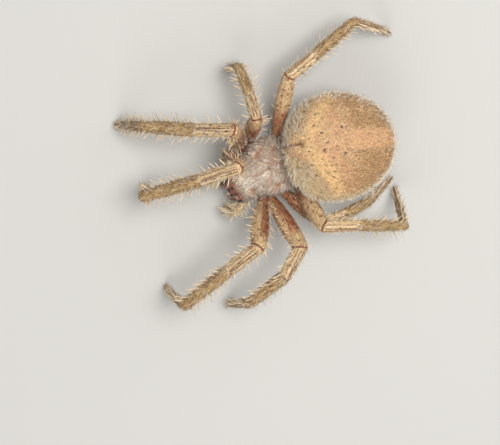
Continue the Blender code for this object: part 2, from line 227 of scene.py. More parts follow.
def layPalps():
    lengths = []
    for number, side in enumerate(("L", "R")):
        elbow = meeting("palp_base_" + side, "palp_tip_" + side)
        base, end = cornersOf("palp_base_" + side), cornersOf("palp_tip_" + side)
        root = base[np.linalg.norm(base - elbow, axis=1) > palpSizes["rootFrom"]].mean(0)
        tip = end[np.argmax(np.linalg.norm(end - elbow, axis=1))]
        first, second, last = palpSizes["radii"]
        tip = tip + unit(elbow - tip) * last
        root = root + unit(root - elbow) * palpSizes["inwards"]
        upper = unit(np.array((0.0, 0.0, 1.0)) + 0.3 * unit(tip - elbow))
        rows = ((root, elbow, (first, second, second)), (elbow, tip, (second, second, last)))
        reached = 0.0
        for start, finish, radii in rows:
            lengths.append({"kind": kinds["palp"], "start": start, "end": finish, "number": 8 + number,
                            "radii": radii, "upper": upper, "reached": reached})
            reached += np.linalg.norm(finish - start)
    return lengths


limbs = layLegs() + layPalps()
starts = np.array([limb["start"] for limb in limbs])
spans = np.array([limb["end"] - limb["start"] for limb in limbs])
spanLengths = np.linalg.norm(spans, axis=1)
ways = unit(spans)
uppers = np.array([limb["upper"] for limb in limbs])
uppers = unit(uppers - ways * (uppers * ways).sum(1, keepdims=True))
radiiOf = np.array([limb["radii"] for limb in limbs]) - coatDepth
kindOf = np.array([limb["kind"] for limb in limbs], float)
numberOf = np.array([limb["number"] for limb in limbs], float)
reachedOf = np.array([limb["reached"] for limb in limbs])
print("laid out", len(limbs), "lengths of leg and palp")


markLie = {"roll": 13.0, "aside": 0.3, "yaw": 0.055}     # how the abdomen leans in its box
strips = {"apart": 17.0, "half": 8.0, "width": 0.6}      # where patterns run along the limbs, in mm
chestBall = {"halfHeight": 2.4, "middleUp": 4.1}         # tells the chest from the abdomen
limbBlend = (0.03, 0.16)                                 # where a limb's look gives way to the body's
farOff = 9.0                                             # mm to the knee where there is none near


def toMarks(rear):
    # places on the abdomen from its own midline, which leans to the animal's right
    turn = math.radians(markLie["roll"])
    side = rear[:, 0] * math.cos(turn) + rear[:, 2] * math.sin(turn)
    side = side + markLie["aside"] + markLie["yaw"] * rear[:, 1]
    rise = rear[:, 2] * math.cos(turn) - rear[:, 0] * math.sin(turn)
    return np.stack((side, rear[:, 1], rise), axis=1)


def thickAt(radii, part):
    # a length of limb is a barrel: how thick it is at a share of its length
    first, belly, last = radii
    return first + (last - first) * part + (belly - (first + last) / 2) * np.sin(np.pi * part)


def byPart(facts, limb, rear, front):
    # for each point the row of the part of the body that it is on
    body = np.where(facts.abdomenShare[:, None] > 0.5, rear, front)
    return np.where(facts.limbShare[:, None] > 0.5, limb, body)


def factsAt(points):
    # says for each point what part of the body it is on, and where on that part
    points = np.asarray(points, float)
    best = np.full(len(points), 1e9)
    which = np.zeros(len(points), int)
    share = np.zeros(len(points))
    for i in range(len(limbs)):
        offset = points - starts[i]
        held = np.clip(offset @ ways[i] / spanLengths[i], 0.0, 1.0)
        gap = np.linalg.norm(offset - held[:, None] * spans[i], axis=1) - thickAt(radiiOf[i], held)
        nearer = gap < best
        best[nearer], which[nearer], share[nearer] = gap[nearer], i, held[nearer]
    knee, kneeSpan = np.full(len(points), farOff), np.full(len(points), farOff)
    for i in np.flatnonzero(kindOf == kinds["femur"]):
        offset = points - starts[i + 1]
        mine = (which == i) | (which == i + 1)
        knee[mine] = (offset @ unit(ways[i] + ways[i + 1]))[mine]
        kneeSpan[mine] = np.linalg.norm(offset, axis=1)[mine]
    axis, upper, number = ways[which], uppers[which], numberOf[which]
    along = share * spanLengths[which]
    outwards = unit(points - starts[which] - axis * along[:, None])
    forwards = np.where((number < 4) | (number == 8), 1.0, -1.0)
    onAbdomen, onChest = toBody(abdomen, points), toBody(chest, points)
    chestHalf = np.array((chest["high"][0], chest["high"][1], chestBall["halfHeight"]))
    inAbdomen = np.linalg.norm(onAbdomen / (abdomen["high"] - coatDepth), axis=1)
    inChest = np.linalg.norm((onChest - (0.0, 0.0, chestBall["middleUp"])) / chestHalf, axis=1)
    limbShare = 1 - smoothStep(best, *limbBlend)
    rear = (inAbdomen < inChest).astype(float)
    facts = SimpleNamespace(
        limbShare=limbShare, abdomenShare=rear * (1 - limbShare), chestShare=(1 - rear) * (1 - limbShare),
        kind=kindOf[which], number=number, share=share, reached=reachedOf[which] + along,
        left=spanLengths[which] * (1 - share), knee=knee, kneeSpan=kneeSpan, axis=axis,
        dorsal=(outwards * upper).sum(1), lateral=(outwards * np.cross(axis, upper)).sum(1) * forwards,
        onAbdomen=onAbdomen, onChest=onChest, marks=toMarks(onAbdomen))
    width, place = strips["width"], facts.reached + number * strips["apart"]
    onStrip = np.stack((facts.lateral * width, place, facts.dorsal * width), axis=1)
    facts.local = byPart(facts, onStrip, facts.marks, onChest)
    return facts


def pick(facts, mask):
    return SimpleNamespace(**{name: values[mask] for name, values in vars(facts).items()})


fields = {  # what the materials read on each piece, in threes
    "regions": ("abdomenShare", "limbShare", "kneeSpan"),
    "limb": ("kind", "share", "left"),
    "around": ("dorsal", "lateral", "knee"),
}


def writeFacts(mesh, facts, repeat=1):
    rows = {"local": facts.local}
    for name, parts in fields.items():
        rows[name] = np.stack([getattr(facts, part) for part in parts], axis=1)
    for name, values in rows.items():
        layer = mesh.attributes.new(name, "FLOAT_VECTOR", "POINT")
        layer.data.foreach_set("vector", np.repeat(values, repeat, axis=0).astype(np.float32).ravel())


# The skin's shapes before they grow together

chestShape = {
    "widestAt": -0.9, "headWidth": 3.6, "headRound": 1.2, "neckLength": 3.4, "rim": 4.15, "dome": 1.95,
    "domeTopAt": 0.7, "sternumWidth": 2.7, "sternumLength": 5.2, "sternumHeight": 2.35, "foveaAt": -1.3,
}
abdomenShape = {"fullness": 2.15, "shoulder": 0.09}
stalkShape = {"ends": ((-3.0, 4.1), (-5.5, 4.95)), "radius": 0.36}
spinneretShape = {
    "number": 6, "length": 0.9, "radius": 0.22, "apart": 0.26, "along": -0.36, "down": -0.66,
    "rootRadii": (0.55, 0.55, 0.36), "rootLength": 0.4, "tipLength": 0.94,      # lengths as shares
}


def ball(segments, rings):
    bm = bmesh.new()
    bmesh.ops.create_uvsphere(bm, u_segments=segments, v_segments=rings, radius=1.0)
    bmesh.ops.rotate(bm, verts=bm.verts, cent=(0, 0, 0), matrix=Matrix.Rotation(math.pi / 2, 3, "X"))
    return bm


def halfWidth(place):
    shape = chestShape
    widest, head, end = chest["high"][0], shape["headWidth"] / 2, chest["high"][1]
    if place < shape["widestAt"]:
        back = (shape["widestAt"] - place) / (shape["widestAt"] + end)
        return widest * math.sqrt(max(0.0, 1 - back ** 2))
    along = min(1.0, (place - shape["widestAt"]) / shape["neckLength"])
    width = head + (widest - head) * math.cos(math.pi / 2 * along) ** 2
    front = max(0.0, place - (end - shape["headRound"])) / shape["headRound"]
    return width * math.sqrt(max(0.0, 1 - front ** 2))


def domeAt(place):
    shape, end = chestShape, chest["high"][1]
    if place > shape["domeTopAt"]:
        part = (place - shape["domeTopAt"]) / (end - shape["domeTopAt"])
        return shape["dome"] * max(0.0, 1 - part ** 3.0) ** 0.5
    part = (shape["domeTopAt"] - place) / (end + shape["domeTopAt"])
    return shape["dome"] * math.cos(math.pi / 2 * part ** 1.15)


def chestMesh():
    bm = ball(64, 48)
    shape = chestShape
    for vert in bm.verts:
        x, y, z = vert.co
        place = chest["high"][1] * y
        width, rise = halfWidth(place), domeAt(place)
        turn = math.atan2(z, x)
        if z >= 0:
            side = width * math.copysign(abs(math.cos(turn)) ** 0.9, math.cos(turn))
            height = shape["rim"] + rise * math.sin(turn) ** 0.85
        else:
            keel = max(0.15, 1 - (2 * place / shape["sternumLength"]) ** 2) ** 0.5
            plate = min(shape["sternumWidth"] / 2 * keel, width * 0.75)
            low = (shape["rim"] - shape["sternumHeight"]) * keel ** 1.5 * min(1.0, width / 1.5)
            under = abs(math.sin(turn))
            shelf = plate + (width - plate) * max(0.0, 1 - under / 0.3)
            side = math.copysign(shelf * abs(math.cos(turn)) ** 0.35, math.cos(turn))
            height = shape["rim"] - low * under ** 0.6
        vert.co = fromBody(chest, (side, place, height))
    return bm


def abdomenMesh():
    bm = ball(72, 54)
    half, low = abdomen["high"], -abdomen["low"][2]
    power = abdomenShape["fullness"]
    for vert in bm.verts:
        x, y, z = vert.co
        round1 = max(0.0, 1 - abs(y) ** power) ** (1 / power) * (1 + abdomenShape["shoulder"] * y)
        spread = math.hypot(x, z) or 1.0
        rise = half[2] if z > 0 else low
        local = (x / spread * round1 * half[0], y * half[1], z / spread * round1 * rise)
        vert.co = fromBody(abdomen, local)
    return bm


def tube(start, end, radii, stations=8, sides=18):
    # a barrel with a half ball at each end
    length = float(np.linalg.norm(end - start))
    turns = [math.pi / 2 * step / 6 for step in range(6)]
    profile = [(radii[0] * math.sin(turn), -radii[0] * math.cos(turn)) for turn in turns]
    for step in range(stations + 1):
        profile.append((thickAt(radii, step / stations), length * (step / stations)))
    profile += [(radii[2] * math.sin(turn), length + radii[2] * math.cos(turn)) for turn in reversed(turns)]
    bm = bmesh.new()
    line = [bm.verts.new((radius, 0.0, height)) for radius, height in profile]
    edges = [bm.edges.new(pair) for pair in zip(line, line[1:])]
    bmesh.ops.spin(bm, geom=line + edges, cent=(0, 0, 0), axis=(0, 0, 1), angle=math.tau, steps=sides,
                   use_merge=True)
    bmesh.ops.remove_doubles(bm, verts=bm.verts, dist=0.0005)
    bmesh.ops.recalc_face_normals(bm, faces=bm.faces)
    turn = Vector(end - start).to_track_quat("Z", "Y").to_matrix().to_4x4()
    bmesh.ops.transform(bm, matrix=Matrix.Translation(Vector(start)) @ turn, verts=bm.verts)
    return bm


def spinneretMeshes():
    shape = spinneretShape
    half = abdomen["high"]
    root = fromBody(abdomen, (0.0, shape["along"] * 2 * half[1], shape["down"] * -abdomen["low"][2]))
    down = unit(np.array((0.0, -0.45, -1.0)) @ abdomen["axes"])
    left, back = abdomen["axes"][0], -abdomen["axes"][1]
    rows = [tube(root, root + down * shape["length"] * shape["rootLength"], shape["rootRadii"])]
    for number in range(shape["number"]):
        turn = math.tau * (number + 0.5) / shape["number"]
        lean = back * math.cos(turn) + left * math.sin(turn)
        start = root + lean * shape["apart"]
        tip = start + unit(down + lean * 0.3) * shape["length"] * shape["tipLength"]
        rows.append(tube(start, tip, (shape["radius"], shape["radius"], shape["radius"] * 0.5)))
    return rows


def solidObject(name, rows):
    # joins bmeshes, still in mm, into one object
    whole = bmesh.new()
    for bm in rows:
        part = bpy.data.meshes.new("part")
        bm.to_mesh(part)
        bm.free()
        whole.from_mesh(part)
        bpy.data.meshes.remove(part)
    mesh = bpy.data.meshes.new(name)
    whole.to_mesh(mesh)
    whole.free()
    return addObject(name, mesh)


skinLook = {
    "voxel": 0.135, "smoothing": 4, "topEase": 0.28, "margin": 0.02,
    "sigilla": ((0.85, 2.95), (1.28, 0.93)), "pitDepth": 0.10, "pitRadius": 0.16, "waveHeight": 0.018,
    "dentDepth": 0.28, "dentHalf": (0.22, 0.45), "grooveDepth": 0.10, "grooveWidth": 0.17,
    "grooveEnds": ((1.75, 1.5), (2.3, 0.0), (2.4, -1.5), (1.7, -2.8)),
    "jointDepth": 0.06, "seamWidth": 0.10, "ringWidth": 0.13, "ridges": 7, "ridgeHeight": 0.012,
}


def growTogether(item):
    # one closed surface over everything that overlaps, with its creases softened
    remesh = item.modifiers.new("grow", "REMESH")
    remesh.mode = "VOXEL"
    remesh.voxel_size = skinLook["voxel"]
    soften = item.modifiers.new("soften", "SMOOTH")
    soften.factor = 0.5
    soften.iterations = skinLook["smoothing"]
    graph = bpy.context.evaluated_depsgraph_get()
    mesh = bpy.data.meshes.new_from_object(item.evaluated_get(graph))
    item.modifiers.clear()
    item.data = mesh
    return mesh


def readPoints(mesh, field="co"):
    flat = np.empty(len(mesh.vertices) * 3)
    mesh.vertices.foreach_get(field, flat)
    return flat.reshape(-1, 3)


def nearLine(points, start, end):
    start, end = np.array(start), np.array(end)
    way = end - start
    part = np.clip((points - start) @ way / (way @ way), 0.0, 1.0)
    return np.linalg.norm(points - start - part[:, None] * way, axis=1)


def reliefAt(facts):
    # how far the skin stands out (or in) at each point, in mm
    look = skinLook
    rear, front = facts.marks, facts.onChest
    relief = np.zeros(len(rear))
    upside = (rear[:, 2] > 1.0) * facts.abdomenShare
    for side in (-1, 1):
        for across, along in look["sigilla"]:
            span = np.hypot(rear[:, 0] - side * across, rear[:, 1] - along)
            relief -= look["pitDepth"] * np.exp(-(span / look["pitRadius"]) ** 2) * upside
    wave = np.sin(rear[:, 1] * 5.3 + np.sin(rear[:, 0] * 2.1) * 1.6)
    wave = wave * np.sin(rear[:, 0] * 4.1 + rear[:, 2] * 2.9)
    relief += look["waveHeight"] * wave * facts.abdomenShare
    onShield = (front[:, 2] > chestShape["rim"] + 0.1) * facts.chestShare
    flat, dent = front[:, :2], np.array((0.0, chestShape["foveaAt"]))
    relief -= look["dentDepth"] * np.exp(-(((flat - dent) / look["dentHalf"]) ** 2).sum(1)) * onShield
    for side in (-1, 1):
        for count, (across, along) in enumerate(look["grooveEnds"]):
            depth = look["grooveDepth"] * (1.0 if count == 0 else 0.5)
            groove = nearLine(flat, (side * 0.15, dent[1] + 0.2), (side * across, along))
            relief -= depth * np.exp(-(groove / look["grooveWidth"]) ** 2) * onShield
    limbed = facts.limbShare
    seam = np.exp(-((facts.knee - 0.05) / look["seamWidth"]) ** 2) * (facts.kneeSpan < 1.0)
    relief -= look["jointDepth"] * seam * limbed
    for kind, depth in ((2, 0.7), (3, 0.4), (4, 0.3)):
        ring = np.exp(-(facts.left / look["ringWidth"]) ** 2) * (facts.kind == kind)
        relief -= look["jointDepth"] * depth * ring * limbed
    ridges = np.cos(np.arctan2(facts.lateral, facts.dorsal) * look["ridges"]) * (facts.kind >= 1)
    return relief + look["ridgeHeight"] * ridges * limbed


def makeSkin():
    rows = [chestMesh(), abdomenMesh()] + spinneretMeshes()
    for limb, radii in zip(limbs, radiiOf + coatDepth):
        rows.append(tube(limb["start"], limb["end"], radii))
    stalk = [fromBody(chest, (0.0, ahead, up)) for ahead, up in stalkShape["ends"]]
    rows.append(tube(*stalk, [stalkShape["radius"]] * 3))
    skin = solidObject("skin", rows)
    mesh = growTogether(skin)
    points, normals = readPoints(mesh), readPoints(mesh, "normal")
    points = points - normals * coatDepth
    facts = factsAt(points)
    points = points + normals * reliefAt(facts)[:, None]
    # the highest knee is eased down, so that it stays under the top of the solids
    ease, margin = skinLook["topEase"], skinLook["margin"]
    above = np.maximum(points[:, 2] - cadHigh[2] / mm + ease + margin, 0.0)
    points[:, 2] += ease * np.tanh(above / ease) - above
    points[:, 2] = np.maximum(points[:, 2], margin)
    mesh.vertices.foreach_set("co", points.astype(np.float32).ravel())
    mesh.update()
    mesh.shade_smooth()
    writeFacts(mesh, facts)
    return skin


skin = makeSkin()
print("skin", len(skin.data.polygons), "faces")


# The eyes: ahead, aside and radius of each of the four on a side

eyeLook = {"frontMiddle": (3.66, 0.30, 0.17), "backMiddle": (3.25, 0.34, 0.15),
           "sideFront": (3.40, 1.20, 0.15), "sideBack": (3.20, 1.27, 0.14)}


def finishPiece(item, slot, *replaced):
    # from mm to metres, then hung on the body
    item.data.transform(Matrix.Scale(mm, 4))
    item.data.shade_smooth()
    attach(item, "root")
    if replaced:
        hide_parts(*replaced)
    return item


def makeEyes():
    tree = treeOf(skin.data)
    rows = []
    for ahead, aside, radius in eyeLook.values():
        for side in (-1, 1):
            above = fromBody(chest, (aside * side, ahead, 9.0))
            hit = tree.ray_cast(Vector(above), Vector((0, 0, -1)), 9.0)[0]
            bm = bmesh.new()
            bmesh.ops.create_uvsphere(bm, u_segments=28, v_segments=18, radius=radius)
            bmesh.ops.translate(bm, verts=bm.verts, vec=hit + Vector((0, 0, coatDepth - radius * 0.1)))
            rows.append(bm)
    places = ("front_middle", "back_middle", "side")
    names = ["eye_%s_%s" % (place, side) for place in places for side in "LR"]
    return finishPiece(solidObject("eyes", rows), "eye", *names)


eyes = makeEyes()
print("eyes made")


# The coat: many thin tapering hairs, each a closed prism of three sides

coatLook = {
    # hairs on a square mm, length, thickness at the root, lift in degrees and its spread
    "abdomen": {"density": 200, "length": 0.20, "width": 0.034, "lift": 12, "spread": 5},
    "chest": {"density": 150, "length": 0.54, "width": 0.034, "lift": 8, "spread": 4},
    "legs": {"density": 84, "length": 0.27, "width": 0.034, "lift": 34, "spread": 13},
    # some hairs stand up, and some lie together in flat locks, but not on the brow
    "erectShare": 0.05, "erectLift": 40, "lockShare": 0.09, "lockLift": 7, "browFrom": 2.2, "faceFrom": 2.9,
    # how many times as long and as thick the special ones are
    "erect": (1.2, 1.0), "locks": (2.1, 3.2), "chestLocks": (1.3, 3.2),
    "face": (0.5, 0.8), "feet": (0.75, 0.85), "thighs": (0.7, 1.0),
    "bareFrom": 2.5, "bareAbove": 3.4, "bareShare": 0.25,     # the face keeps that share of its hairs
    "turned": 0.12, "turnedOnAbdomen": 0.38, "bend": 0.35, "leastLift": 6, "mostLift": 70,
}
fringeLook = {
    # long pale hairs that stand out of the coat and fray its outline
    "abdomen": {"density": 15.0, "length": 0.64, "width": 0.055, "lift": 50, "spread": 12},
    "neck": {"density": 14.0, "length": 0.86, "width": 0.046, "lift": 32, "spread": 12},
    "chest": {"density": 5.0, "length": 0.65, "width": 0.050, "lift": 38, "spread": 12},
    "legs": {"density": 9.0, "length": 0.42, "width": 0.045, "lift": 55, "spread": 12},
    "turned": 0.3, "bend": 0.25,
}
abdomenSpots = (  # across, along, radius, darkness
    (0.85, 2.95, 0.20, 0.85), (1.28, 0.93, 0.22, 0.9), (0.28, 4.72, 0.17, 0.75), (0.42, 4.02, 0.17, 0.75),
    (1.10, 4.50, 0.13, 0.6), (2.10, 4.05, 0.15, 0.6), (3.15, 3.70, 0.15, 0.6), (1.9, 2.9, 0.12, 0.5),
    (2.75, 2.7, 0.12, 0.5),
)
chestSpots = ((0.85, 1.45, 0.34), (1.75, -0.8, 0.30), (1.95, -1.35, 0.24), (1.2, -2.3, 0.25))
atlas = {"limb": 34.0, "rows": 10.0, "abdomen": 11.4, "chest": 8.2, "chestMiddle": 4.0, "edge": 0.004,
         "patch": 0.0015}            # mm of body on the unwrap; edge and patch are shares of the unwrap
boxMargin = {"reach": 0.01, "corner": 0.012}    # mm that hairs keep inside the solids' box


def scatter(mesh, densityAt):
    # random roots on the skin, so many to a square mm
    mesh.calc_loop_triangles()
    corners = np.empty(len(mesh.loop_triangles) * 3, int)
    mesh.loop_triangles.foreach_get("vertices", corners)
    corners = corners.reshape(-1, 3)
    points, normals = readPoints(mesh), readPoints(mesh, "normal")
    a, b, c = (points[corners[:, i]] for i in range(3))
    areas = np.linalg.norm(np.cross(b - a, c - a), axis=1) / 2
    weights = areas * densityAt(factsAt((a + b + c) / 3), unit(np.cross(b - a, c - a)))
    count = int(weights.sum())
    picked = chance.choice(len(weights), size=count, p=weights / weights.sum())
    u, v = chance.random(count), chance.random(count)
    flip = u + v > 1
    u[flip], v[flip] = 1 - u[flip], 1 - v[flip]
    share = np.stack((1 - u - v, u, v), axis=1)[:, :, None]
    chosen = corners[picked]
    return (points[chosen] * share).sum(1), unit((normals[chosen] * share).sum(1))


def atlasPlace(facts):
    # each root's place on an unwrap of the skin: strips for the limbs, a wrap round each body part
    rear, front = facts.onAbdomen, facts.onChest
    around = ((facts.lateral, facts.dorsal), (rear[:, 0], rear[:, 2]),
              (front[:, 0], front[:, 2] - atlas["chestMiddle"]))
    limbTurn, rearTurn, frontTurn = (np.arctan2(*pair) / math.tau + 0.5 for pair in around)
    legs = np.stack((facts.reached / atlas["limb"], (facts.number + limbTurn) / atlas["rows"]), axis=1)
    rearUv = np.stack((rearTurn, rear[:, 1] / atlas["abdomen"] + 0.5), axis=1)
    frontUv = np.stack((frontTurn, front[:, 1] / atlas["chest"] + 0.5), axis=1)
    return np.clip(byPart(facts, legs, rearUv, frontUv), atlas["edge"], 1 - atlas["edge"])


def insideBox(roots, reaches):
    # share of each hair that fits inside the solids' box
    low, high = np.array(cadLow) / mm + boxMargin["reach"], np.array(cadHigh) / mm - boxMargin["reach"]
    fit = np.ones(len(roots))
    for axis in range(3):
        step = reaches[:, axis]
        room = np.where(step > 0, high[axis] - roots[:, axis], roots[:, axis] - low[axis])
        ratio = room / np.maximum(np.abs(step), 1e-6)
        fit = np.minimum(fit, np.clip(ratio, 0.05, 1.0))
    return fit


def hairPoints(roots, normals, lies, lengths, widths, lifts, sides, bend, rings):
    # rings of corners along each hair's curve, then its point
    across = unit(np.cross(lies, normals))
    lies = unit(np.cross(normals, across))
    lift = np.radians(lifts)[:, None]
    straight = lies * np.cos(lift) + normals * np.sin(lift)
    reach = straight * lengths[:, None]
    droop = (lies - normals * 0.6) * (bend * lengths * np.sin(lift[:, 0]))[:, None]
    fit = insideBox(roots, reach + droop)[:, None]
    reach, droop = reach * fit, droop * fit
    points = np.empty((len(roots), rings * sides + 1, 3))
    upright = unit(np.cross(straight, across))
    for ring in range(rings):
        part = ring / rings
        centre = roots - straight * 0.02 + reach * part + droop * part ** 2
        radius = widths / 2 * (1 - 0.45 * part)
        for side in range(sides):
            turn = math.tau * side / sides
            spoke = across * math.cos(turn) + upright * math.sin(turn)
            points[:, ring * sides + side] = centre + spoke * radius[:, None]
    points[:, -1] = roots + reach + droop
    margin = boxMargin["corner"]
    return np.clip(points, np.array(cadLow) / mm + margin, np.array(cadHigh) / mm - margin)


def hairFaces(sides, rings):
    faces = [tuple(reversed(range(sides)))]
    for ring in range(rings - 1):
        for side in range(sides):
            after = (side + 1) % sides
            low, high = ring * sides, (ring + 1) * sides
            faces.append((low + side, low + after, high + after, high + side))
    top = (rings - 1) * sides
    return faces + [(top + side, top + (side + 1) % sides, rings * sides) for side in range(sides)]


def growHairs(name, hairs, facts, bend, mask=slice(None), sides=3, rings=2):
    # one joined mesh of closed hairs, with what the materials read; hairs has their roots, normals, the
    # ways that they lie, lengths, widths and lifts
    facts = pick(facts, mask)
    points = hairPoints(*(values[mask] for values in hairs), sides, bend, rings)
    faces = hairFaces(sides, rings)
    count, perHair = points.shape[:2]
    loops = np.concatenate([np.array(face) for face in faces])
    allSizes = np.tile([len(face) for face in faces], count)
    allLoops = (loops[None] + (np.arange(count) * perHair)[:, None]).ravel()
    mesh = bpy.data.meshes.new(name)
    mesh.vertices.add(count * perHair)
    mesh.vertices.foreach_set("co", (points * mm).astype(np.float32).ravel())
    mesh.loops.add(len(allLoops))
    mesh.loops.foreach_set("vertex_index", allLoops.astype(np.int32))
    mesh.polygons.add(len(allSizes))
    mesh.polygons.foreach_set("loop_start", np.concatenate(([0], np.cumsum(allSizes)[:-1])).astype(np.int32))
    mesh.update(calc_edges=True)
    mesh.shade_smooth()
    writeFacts(mesh, facts, perHair)
    shares = np.append(np.repeat(np.arange(rings) / rings, sides), 1.0)
    shades = np.repeat(chance.random(count), perHair)
    for field, values in (("tip", np.tile(shares, count)), ("shade", shades)):
        layer = mesh.attributes.new(field, "FLOAT", "POINT")
        layer.data.foreach_set("value", values.astype(np.float32))
    corner = np.linspace(0, math.tau, len(loops), endpoint=False)
    spread = np.stack((np.cos(corner), np.sin(corner)), axis=1) * atlas["patch"]
    uv = (atlasPlace(facts)[:, None] + spread[None]).reshape(-1, 2)
    layer = mesh.uv_layers.new(name="OFBake")
    layer.data.foreach_set("uv", uv.astype(np.float32).ravel())
    print(name, count, "hairs,", count * (len(loops) - 2 * len(faces)), "triangles")
    return addObject(name, mesh)


def lieOf(facts, roots, spread, rearSpread):
    # which way the hairs point: off the front of the abdomen, forwards on the shield, down the limbs
    nose = fromBody(abdomen, (0.0, abdomen["high"][1] * 1.02, 0.4))
    rear = unit(roots - nose)
    front = facts.onChest
    ahead, left = chest["axes"][1], chest["axes"][0]
    outwards = np.clip(front[:, 0] / 2.5, -1, 1)[:, None] * left
    fromDent = np.clip((front[:, 1] - chestShape["foveaAt"] + 0.7) / 1.6, -1, 1)[:, None]
    shield = ahead * (fromDent + 0.1) + outwards * (1.1 - 0.5 * fromDent)
    lie = byPart(facts, facts.axis, rear, unit(shield))
    spreads = np.where(facts.abdomenShare > 0.5, rearSpread, spread)[:, None]
    return unit(lie + chance.normal(0, 1, lie.shape) * spreads)


def regionsOf(facts):
    onLimb = facts.limbShare > 0.5
    onRear = ~onLimb & (facts.abdomenShare > 0.5)
    return onLimb, onRear, ~onLimb & ~onRear


def hairShape(roots, rows):
    # length, thickness and lift of each hair; each row gives a mask and its look
    lengths, widths, lifts = (np.full(len(roots), 0.02) for _ in range(3))
    for mask, look in rows:
        count = int(mask.sum())
        lengths[mask] = look["length"] * chance.uniform(0.65, 1.3, count)
        widths[mask] = look["width"] * chance.uniform(0.8, 1.25, count)
        lifts[mask] = chance.normal(look["lift"], look["spread"], count)
    return lengths, widths, lifts


def coatDensity(facts, faceNormals):
    top = smoothStep(faceNormals[:, 2], -0.6, 0.1)
    density = coatLook["abdomen"]["density"] * facts.abdomenShare * (0.45 + 0.55 * top)
    density += coatLook["chest"]["density"] * facts.chestShare * (0.3 + 0.7 * top)
    knees = smoothStep(facts.left, 2.0, 0.6)
    bare = np.where(facts.kind == kinds["femur"], 0.75 + 0.4 * knees, 1.0)
    bare = np.where(facts.kind == kinds["coxa"], 0.3, bare)
    bare = np.where(facts.kind == kinds["patella"], 0.65, bare)
    feet = np.where(facts.kind >= kinds["metatarsus"], 1.5, 1.0)
    return density + coatLook["legs"]["density"] * facts.limbShare * bare * feet


def clearSpots(facts):
    # hairs that would hide the dark spots and the bare face are left out
    front, shift = facts.onChest, coatLook["abdomen"]["length"] * 0.4
    eyeSpots = [(aside, ahead, radius) for ahead, aside, radius in eyeLook.values()]
    rows = (  # places, spots, times the radius that is cleared, share of the part, lowest place
        (facts.marks, abdomenSpots, 0.95, facts.abdomenShare, 0.6),
        (front, chestSpots, 1.1, facts.chestShare, 4.2),
        (front, eyeSpots, 1.9, facts.chestShare, 3.6),
    )
    kept = np.ones(len(front), bool)
    for places, spots, clear, share, lowest in rows:
        for across, along, radius in (spot[:3] for spot in spots):
            span = np.hypot(np.abs(places[:, 0]) - across, places[:, 1] - shift - along)
            kept &= (span > radius * clear) | (share <= 0.5) | (places[:, 2] < lowest)
    ahead, up = front[:, 1] > coatLook["bareFrom"], front[:, 2] > coatLook["bareAbove"]
    onFace = (facts.chestShare > 0.5) & ahead & up
    return kept & (~onFace | (chance.random(len(front)) < coatLook["bareShare"]))


def makeCoat():
    roots, normals = scatter(skin.data, coatDensity)
    facts = factsAt(roots)
    kept = clearSpots(facts)
    roots, normals, facts = roots[kept], normals[kept], pick(facts, kept)
    lies = lieOf(facts, roots, coatLook["turned"], coatLook["turnedOnAbdomen"])
    onLimb, onRear, onFront = regionsOf(facts)
    rows = ((onLimb, coatLook["legs"]), (onRear, coatLook["abdomen"]), (onFront, coatLook["chest"]))
    lengths, widths, lifts = hairShape(roots, rows)
    kind, ahead, rear = facts.kind, facts.onChest[:, 1], facts.onAbdomen
    erect = (chance.random(len(roots)) < coatLook["erectShare"]) & ~onFront
    brow = onFront & (ahead > coatLook["browFrom"])
    locks = (chance.random(len(roots)) < coatLook["lockShare"]) & ~onLimb & ~erect & ~brow
    special = {"erect": erect, "locks": locks & onRear, "chestLocks": locks & onFront,
               "face": onFront & (ahead > coatLook["faceFrom"]),
               "feet": onLimb & np.isin(kind, (kinds["metatarsus"], kinds["tarsus"])),
               "thighs": onLimb & (kind <= kinds["patella"])}
    for name, mask in special.items():
        lengths[mask] *= coatLook[name][0]
        widths[mask] *= coatLook[name][1]
    lifts[erect] = coatLook["erectLift"]
    lifts[locks] = coatLook["lockLift"]
    lifts = np.clip(lifts, coatLook["leastLift"], coatLook["mostLift"])
    upSide = rear[:, 2] > 0.9
    groups = {"coat_abdomen_left": onRear & (rear[:, 0] > 0) & upSide,
              "coat_abdomen_right": onRear & (rear[:, 0] <= 0) & upSide,
              "coat_abdomen_under": onRear & ~upSide, "coat_chest": onFront}
    for number, leg in enumerate(legNames):
        groups["coat_leg_" + leg] = onLimb & (facts.number == number)
    groups["coat_palps"] = onLimb & (facts.number >= len(legNames))
    hairs = (roots, normals, lies, lengths, widths, lifts)
    flat = ("coat_abdomen", "coat_chest")      # these hairs lie so flat that one ring will do
    return [growHairs(name, hairs, facts, coatLook["bend"], mask, rings=1 if name.startswith(flat) else 2)
            for name, mask in groups.items()]


def neckOf(facts):
    # where the shield and the abdomen meet, the hairs are longest
    _, onRear, onFront = regionsOf(facts)
    return (onFront & (facts.onChest[:, 1] < -2.3)) | (onRear & (facts.onAbdomen[:, 1] > 4.2))


def fringeDensity(facts, faceNormals):
    look = fringeLook
    sides = 0.03 + 0.97 * smoothStep(faceNormals[:, 2], 0.58, 0.25)
    density = look["abdomen"]["density"] * facts.abdomenShare * sides
    density += look["chest"]["density"] * facts.chestShare * (facts.onChest[:, 1] < 1.8)
    density = np.where(neckOf(facts), look["neck"]["density"], density)
    covered = np.where(facts.kind <= kinds["femur"], 0.3, 1.0)
    return density + look["legs"]["density"] * facts.limbShare * covered


def makeFringe():
    roots, normals = scatter(skin.data, fringeDensity)
    facts = factsAt(roots)
    lies = lieOf(facts, roots, fringeLook["turned"], fringeLook["turned"])
    onLimb, onRear, onFront = regionsOf(facts)
    shape = hairShape(roots, ((onLimb, fringeLook["legs"]), (onRear, fringeLook["abdomen"]),
                              (onFront, fringeLook["chest"]), (neckOf(facts), fringeLook["neck"])))
    return [growHairs(name, (roots, normals, lies, *shape), facts, fringeLook["bend"], mask)
            for name, mask in (("fringe_body", ~onLimb), ("fringe_legs", onLimb))]


# The spines: stout pale bristles in rows along every leg, and longer ones on the palps

